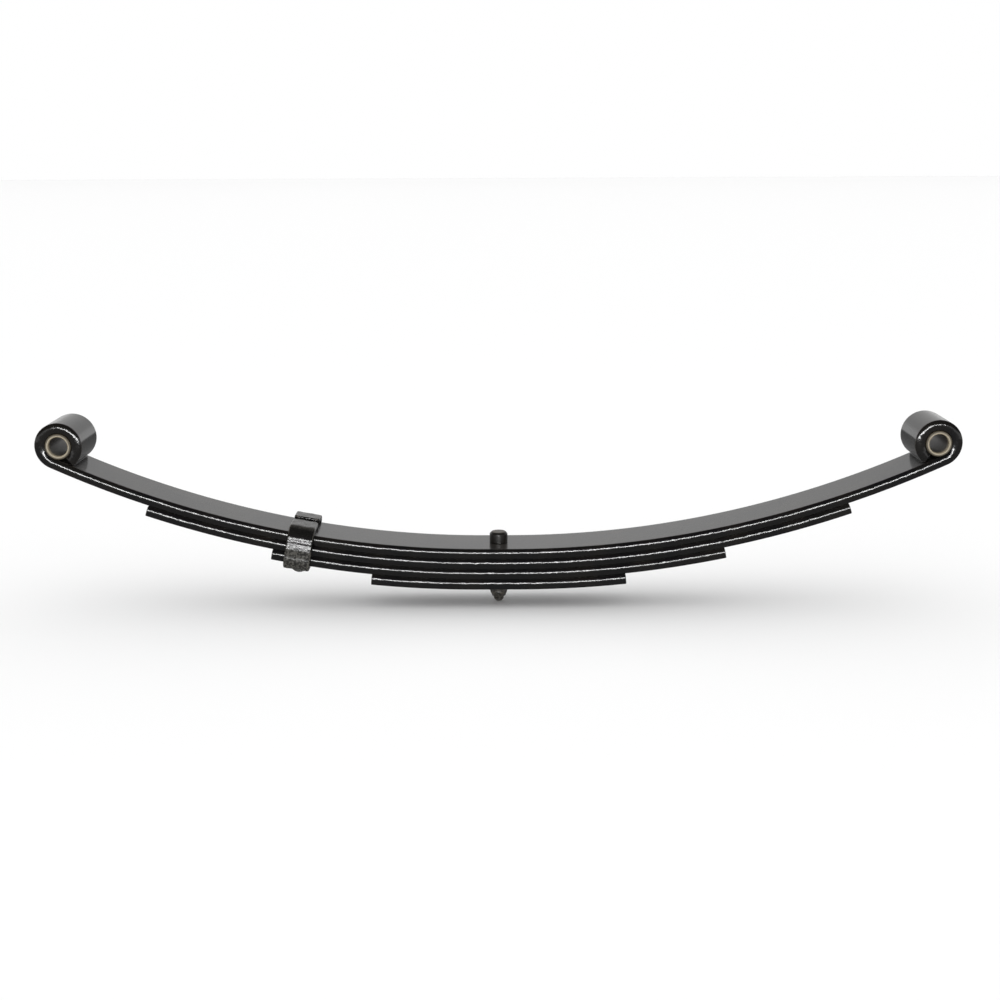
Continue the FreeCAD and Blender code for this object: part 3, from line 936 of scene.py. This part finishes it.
@dataclass
class CentreBolt:
    """Round-headed centre bolt and its lock nut, hexagonal with a coned outer end."""

    head_radius: float = 6.75 * MM
    head_height: float = 8.4 * MM
    head_chamfer: float = 1.5 * MM
    shank_radius: float = 3.97 * MM
    seat: float = -31.2 * MM
    end: float = -45.4 * MM
    tip_round: float = 1.6 * MM
    pitch: float = 1.06 * MM
    thread_depth: float = 0.42 * MM
    nut_flat: float = 6.35 * MM
    hex_height: float = 6.6 * MM
    cone_height: float = 3.7 * MM
    cone_radius: float = 5.1 * MM
    bore_radius: float = 4.02 * MM
    segments: int = 120

    def bolt(self) -> bpy.types.Object:
        """The bolt: a turned profile with a helical thread below the pack.

        The thread takes depth * (1 - cos(2 pi z / pitch + angle)) / 2 off the radius.

        Returns:
            The piece.
        """
        head, chamfer, shank = self.head_radius, self.head_chamfer, self.shank_radius
        corners = [(0.3 * MM, self.head_height), (head - chamfer, self.head_height),
                   (head, self.head_height - chamfer), (head, 0.0), (shank, 0.0), (shank, self.seat),
                   (shank, self.end + self.tip_round), (shank - self.tip_round, self.end),
                   (0.3 * MM, self.end)]
        profile = refine(soften(corners, 0.5 * MM), 0.8 * MM)
        thread = profile[:, 1] < self.seat + 0.5 * MM
        fine = refine(profile[thread], 0.11 * MM)
        profile = np.concatenate([profile[~thread], fine])
        points = revolve(profile, self.segments)
        radius, height = profile[:, :1], profile[:, 1:]
        angle = np.arange(self.segments) / self.segments * 2 * math.pi
        cut = self.thread_depth * (1.0 - np.cos(2 * math.pi * height / self.pitch + angle)) / 2
        threaded = np.clip((self.seat - height) / MM, 0.0, 1.0) * np.clip(radius / shank, 0.0, 1.0) ** 4
        points[..., :2] *= 1.0 - (cut * threaded / np.maximum(radius, MM))[..., None]
        uneven = np.clip((height - 1.0 * MM) / (5.0 * MM), 0.0, 1.0) * np.clip(radius / head, 0.0, 1.0)
        points[..., :2] *= 1.0 - (ripple(points, 0.022, 9.0 * MM, 0.7) * uneven)[..., None]
        rim = np.clip(1.0 - np.abs(radius + height - head - self.head_height + chamfer * 0.5) / MM, 0.0, 1.0)
        top = np.clip((height - self.head_height + 2.2 * MM) / (2.0 * MM), 0.0, 1.0)
        wide = np.ones((1, self.segments))
        numbers = {"corner": np.clip(rim * 0.6 + top * 0.45, 0.0, 1.0) * wide,
                   "scuff": np.clip((self.seat - height) / MM + top, 0.0, 1.0) * wide}
        return mesh_piece("centre_bolt_turned", points, Ends.POLES, numbers)

    def nut(self) -> bpy.types.Object:
        """The nut: at each height the smaller of a hexagon and a turned limit.

        The hexagon is flat / cos(angle mod 60 - 30) with a corner on +X; the two radii are
        joined softly by (a^-p + b^-p)^(-1/p).

        Returns:
            The piece.
        """
        point = self.nut_flat / math.cos(math.pi / 6)
        step, end = self.seat - self.hex_height, self.seat - self.hex_height - self.cone_height
        corners = [(self.bore_radius, self.seat), (self.nut_flat, self.seat),
                   (point, self.seat - 0.7 * MM), (point, step + 0.8 * MM), (self.nut_flat, step),
                   (self.cone_radius, end), (self.bore_radius, end)]
        outside = refine(soften(corners, 0.35 * MM), 0.35 * MM)
        inside = refine(np.array([corners[-1], corners[0]]), 0.8 * MM)[1:-1]
        profile = np.concatenate([outside, inside])
        points = revolve(profile, self.segments)
        radius = profile[:, :1]
        angle = np.arange(self.segments) / self.segments * 2 * math.pi
        hexagon = self.nut_flat / np.cos(np.mod(angle, math.pi / 3) - math.pi / 6)
        power = 60.0
        joined = (radius ** -power + hexagon ** -power) ** (-1.0 / power)
        points[..., :2] *= (joined / radius)[..., None]
        bulk = (radius > self.bore_radius + 0.3 * MM) * 1.0
        points[..., :2] *= 1.0 - (ripple(points, 0.05, 5.0 * MM, 1.9) * bulk)[..., None]
        near = np.clip(1.0 - np.abs(profile[:, 1:] - step) / (0.9 * MM), 0.0, 1.0)
        ridge = np.clip((joined - 6.9 * MM) / (0.35 * MM), 0.0, 1.0)
        numbers = {"corner": np.clip(near * 0.8 + ridge, 0.0, 1.0) * bulk,
                   "scuff": np.ones(points.shape[:2])}
        return mesh_piece("centre_bolt_lock_nut", points, Ends.JOINED, numbers)

    def build(self) -> None:
        """Make the bolt and the nut and fix them to the pack."""
        finish = FASTENER_ENAMEL.make()
        for piece, node in ((self.bolt(), "centre_bolt"), (self.nut(), "centre_bolt_nut")):
            enlist(piece, [node], finish)
            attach(piece, Body.PACK.value)


# ---- rebound clip -----------------------------------------------------------------------


@dataclass
class ReboundClip:
    """Strap bent round the upper three leaves, with its rivet's domed head below."""

    thick: float = 3.6 * MM
    width: float = 19.5 * MM
    round_off: float = 0.9 * MM
    side: float = 24.825 * MM
    roof: float = 3.4 * MM
    lift: float = 0.9 * MM
    front_end: float = -0.8 * MM
    back_end: float = 4.6 * MM
    top_bend: float = 7.3 * MM
    base_bend: float = 3.8 * MM
    arch_radius: float = 745.0 * MM
    flat: float = 10.0 * MM
    distance: float = 145.3 * MM
    third_flat: float = 12.3248 * MM
    leaf_thick: float = 7.8 * MM
    base_gap: float = 0.35 * MM
    ear_round: float = 3.2 * MM
    bow: float = 1.1 * MM
    bow_top: float = -1.5 * MM
    bow_height: float = 10.5 * MM
    rivet_shank: float = 3.5 * MM
    rivet_head: float = 8.0 * MM
    rivet_height: float = 7.7 * MM
    rivet_sink: float = 5.2 * MM
    sink_depth: float = 2.2 * MM

    @property
    def lean(self) -> float:
        """Angle of the main leaf under the clip."""
        return math.asin((self.distance - self.flat) / self.arch_radius)

    @property
    def stack(self) -> float:
        """Depth from the main leaf's top to the third leaf's underside at the clip."""
        return 3 * self.leaf_thick + (self.third_flat - self.flat) * math.tan(self.lean)

    def stand(self, points: Array) -> Array:
        """Move points from the clip's own frame onto the arch.

        The frame's origin is on the main leaf's top face at the clip, and it is turned by
        the lean about +Y: x' = x cos + z sin, z' = z cos - x sin.

        Args:
            points: places of shape (..., 3).

        Returns:
            The places in the spring's frame.
        """
        cos, sin = math.cos(self.lean), math.sin(self.lean)
        x, y, z = np.moveaxis(points, -1, 0)
        place_x = -self.flat - self.arch_radius * sin
        place_z = self.arch_radius * (1.0 - cos)
        return np.stack([place_x + x * cos + z * sin, y, place_z - x * sin + z * cos], -1)

    def ear_plan(self, across: Array, height: Array) -> Array:
        """Share of the full width along the strap, drawn in to a round corner at each ear tip.

        Within a radius r of a tip the half width loses r - sqrt(r^2 - (r - s)^2), where s is
        the distance from the tip.

        Args:
            across: Y of each row's middle.
            height: Z of each row's middle.

        Returns:
            The share of each row.
        """
        from_front = np.abs(across - self.front_end)
        from_back = np.abs(across - self.back_end)
        row = np.arange(across.size)
        gap = np.where(row < across.size / 2, from_front, from_back)
        gap = np.where(height > 0.0, gap, self.ear_round)
        short = np.clip(self.ear_round - gap, 0.0, None)
        return 1.0 - (self.ear_round - np.sqrt(self.ear_round ** 2 - short ** 2)) / (self.width / 2)

    def strap(self) -> bpy.types.Object:
        """The strap, swept along its mid-line from the front ear to the back ear.

        Returns:
            The piece.
        """
        quarter = math.pi / 2
        floor = -(self.stack + self.base_gap + self.thick / 2)
        tip = self.round_off
        drop = self.roof - self.top_bend - floor - self.base_bend
        runs = [
            Run(10, length=self.ear_round),
            Run(8, length=self.side - self.top_bend + self.front_end - tip - self.ear_round),
            Run(14, radius=self.top_bend, turn=quarter),
            Run(24, length=drop),
            Run(10, radius=self.base_bend, turn=quarter),
            Run(24, length=2 * (self.side - self.base_bend)),
            Run(10, radius=self.base_bend, turn=quarter),
            Run(24, length=drop + self.lift),
            Run(14, radius=self.top_bend, turn=quarter),
            Run(6, length=self.side - self.top_bend - self.back_end - tip - self.ear_round),
            Run(10, length=self.ear_round),
        ]
        path, headings = trace((self.front_end - tip, self.roof), math.pi, runs)
        half, deep = self.width / 2, self.thick / 2
        flats = np.linspace(-1.0, 1.0, 21)[1:-1]
        outline = bar_outline(half, deep, deep * 1.35, self.round_off, flats)
        skin = sweep(path, headings, outline, tip, tip)
        local = skin.points[..., [1, 0, 2]]
        local[..., 0] *= self.ear_plan(local[:, :, 1].mean(1), local[:, :, 2].mean(1))[:, None]
        slope = np.clip((self.bow_top - local[..., 2]) / self.bow_height, 0.0, 1.0)
        foot = np.clip((local[..., 2] - floor) / (5.0 * MM), 0.0, 1.0)
        upright = np.clip((np.abs(local[..., 1]) - 20.0 * MM) / (2.0 * MM), 0.0, 1.0)
        bowed = slope ** 2 * (3.0 - 2.0 * slope) * foot ** 2 * (3.0 - 2.0 * foot) * upright
        local[..., 1] += self.bow * bowed * np.sign(local[..., 1])
        hammered = ripple(local, 0.16 * MM, 11.0 * MM, 0.4) + ripple(local, 0.07 * MM, 4.3 * MM, 1.1)
        ways = np.concatenate([np.full(6, headings[0]), headings, np.full(6, headings[-1])])
        local[..., 1] += hammered * -np.sin(ways)[:, None]
        local[..., 2] += hammered * np.cos(ways)[:, None]
        scuff = np.clip((self.bow_top - self.bow_height * 0.8 - local[..., 2]) / (3.0 * MM), 0.0, 1.0)
        numbers = {"corner": skin.corner, "edge": skin.edge, "scuff": scuff}
        return mesh_piece("rebound_clip_strap", self.stand(local), Ends.STRIPS, numbers)

    def rivet(self) -> bpy.types.Object:
        """The rivet: a domed head under the strap and a shank into the third leaf.

        The dome is part of a sphere of radius (r^2 + h^2) / 2h, slightly uneven.

        Returns:
            The piece.
        """
        seat = self.stack + self.base_gap + self.thick
        dome = (self.rivet_head ** 2 + self.rivet_height ** 2) / (2 * self.rivet_height)
        reach = math.asin(self.rivet_head / dome)
        swing = np.linspace(0.04, reach, 22)
        cap = np.stack([dome * np.sin(swing), dome - dome * np.cos(swing) - seat - self.rivet_height], 1)
        top = self.leaf_thick - self.stack
        body = [(self.rivet_head, -seat), (self.rivet_shank, -seat),
                (self.rivet_shank, top - self.sink_depth), (self.rivet_sink, top), (0.3 * MM, top)]
        profile = np.concatenate([cap, refine(np.array(body), 0.8 * MM)[1:]])
        points = revolve(profile, 80)
        outer = np.clip((-seat + 0.2 * MM - profile[:, 1:]) / MM, 0.0, 1.0)
        points[..., :2] *= 1.0 - (ripple(points, 0.05, 8.0 * MM, 2.2) * outer)[..., None]
        numbers = {"corner": outer * 0.35 * np.ones((1, 80)), "scuff": outer * np.ones((1, 80))}
        return mesh_piece("clip_rivet_head", self.stand(points), Ends.POLES, numbers)

    def build(self) -> None:
        """Make the strap and its rivet; both move with the clip's body."""
        finish = CLIP_ENAMEL.make()
        for piece, node in ((self.strap(), "rebound_clip"), (self.rivet(), "clip_rivet")):
            enlist(piece, [node], finish)
            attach(piece, Body.CLIP.value)


# ---- studio -----------------------------------------------------------------------------


@dataclass(frozen=True)
class SoftLight:
    """Rectangular light that faces a point."""

    name: str
    place: Tuple[float, float, float]
    target: Tuple[float, float, float]
    size: Tuple[float, float]
    radiance: float
    in_reflections: bool
    in_diffuse: bool

    def build(self) -> None:
        """Make the light.

        A square metre of radiance L gives pi L watts, so the power is pi L times the area.
        """
        data = bpy.data.lights.new(self.name, "AREA")
        data.shape = "RECTANGLE"
        data.size, data.size_y = self.size
        data.energy = math.pi * self.radiance * self.size[0] * self.size[1]
        lamp = bpy.data.objects.new(self.name, data)
        aim = Vector(self.target) - Vector(self.place)
        turn = aim.to_track_quat("-Z", "Y").to_matrix().to_4x4()
        lamp.matrix_world = Matrix.Translation(self.place) @ turn
        lamp.visible_glossy = self.in_reflections
        lamp.visible_diffuse = self.in_diffuse
        lamp.visible_camera = False
        bpy.context.scene.collection.objects.link(lamp)


@dataclass
class Studio:
    """Pale floor, pale surroundings, soft lights and the camera."""

    floor_level: float = -0.0458
    floor_half: float = 16.0
    camera_place: Tuple[float, float, float] = (0.00465, -1.10334, 0.28991)
    camera_down: float = math.radians(13.135)
    camera_yaw: float = math.radians(-0.180)
    camera_roll: float = math.radians(-0.240)
    lens: float = 54.506
    wall_level: float = 0.75
    ground_level: float = 0.22
    room_level: float = 0.02

    def floor(self) -> None:
        """Flat floor just below the bolt's tip."""
        half = self.floor_half
        corners = [(-half, -half), (half, -half), (half, half), (-half, half)]
        mesh = bpy.data.meshes.new("studio_floor")
        mesh.from_pydata([(x, y, self.floor_level) for x, y in corners], [], [(0, 1, 2, 3)])
        floor = bpy.data.objects.new("studio_floor", mesh)
        bpy.context.scene.collection.objects.link(floor)
        mesh.materials.append(StudioFloor().make())
        floor.visible_glossy = False

    def surroundings(self) -> None:
        """Pale low horizon all round, a grey wall above it behind, and a dim room elsewhere."""
        world = bpy.data.worlds.new("studio")
        bpy.context.scene.world = world
        world.use_nodes = True
        graph = Graph(world.node_tree)
        way = graph.out(graph.node("ShaderNodeTexCoord"), "Generated")
        split = graph.node("ShaderNodeSeparateXYZ", {}, {0: way})
        behind, up = graph.out(split, "Y"), graph.out(split, "Z")
        ground = 1.0 - graph.step(up, -0.080, -0.050)
        low = (1.0 - graph.step(up, 0.10, 0.17)) * (1.0 - ground)
        wall = graph.step(behind, 0.0, 0.5) * (1.0 - graph.step(up, 0.35, 0.75)) * self.wall_level
        dim = (1.0 - low - ground) * (wall + self.room_level)
        level = low + ground * self.ground_level + dim
        shade = graph.node("ShaderNodeBackground", {}, {"Color": (1.0, 1.0, 1.0, 1.0), "Strength": level})
        graph.node("ShaderNodeOutputWorld", {}, {"Surface": graph.out(shade)})

    def lights(self) -> None:
        """Long low strip in front, seen in the glossy edges, and a broad light overhead."""
        SoftLight("low_strip", (0.0, -3.0, 0.21), (0.0, 0.0, 0.0), (2.4, 0.23), 38.0, True, False).build()
        SoftLight("overhead", (0.0, 0.0, 10.0), (0.0, 0.0, 0.0), (64.0, 64.0), 1.04, False, True).build()

    def camera(self) -> None:
        """Camera at the viewing angle, looking slightly down along +Y."""
        down, yaw, roll = self.camera_down, self.camera_yaw, self.camera_roll
        ahead = Vector((math.sin(yaw) * math.cos(down), math.cos(yaw) * math.cos(down), -math.sin(down)))
        right = Vector((math.cos(yaw), -math.sin(yaw), 0.0))
        above = right.cross(ahead)
        turned_right = math.cos(roll) * right + math.sin(roll) * above
        turned_up = math.cos(roll) * above - math.sin(roll) * right
        data = bpy.data.cameras.new("camera")
        data.lens = self.lens
        data.sensor_width = 36.0
        camera = bpy.data.objects.new("camera", data)
        turn = Matrix((turned_right, turned_up, -ahead)).transposed().to_4x4()
        camera.matrix_world = Matrix.Translation(self.camera_place) @ turn
        bpy.context.scene.collection.objects.link(camera)
        bpy.context.scene.camera = camera

    def build(self) -> None:
        """Set up the whole studio."""
        self.floor()
        self.surroundings()
        self.lights()
        self.camera()
        bpy.context.scene.view_settings.view_transform = "Standard"


def main() -> None:
    """Build every sub-assembly in order."""
    logging.basicConfig(level=logging.INFO, format="%(message)s")
    for assembly in (Studio(), LeafPack(), EyeBushes(), CentreBolt(), ReboundClip()):
        LOG.info("building %s", type(assembly).__name__)
        assembly.build()


if __name__ == "__main__":
    main()
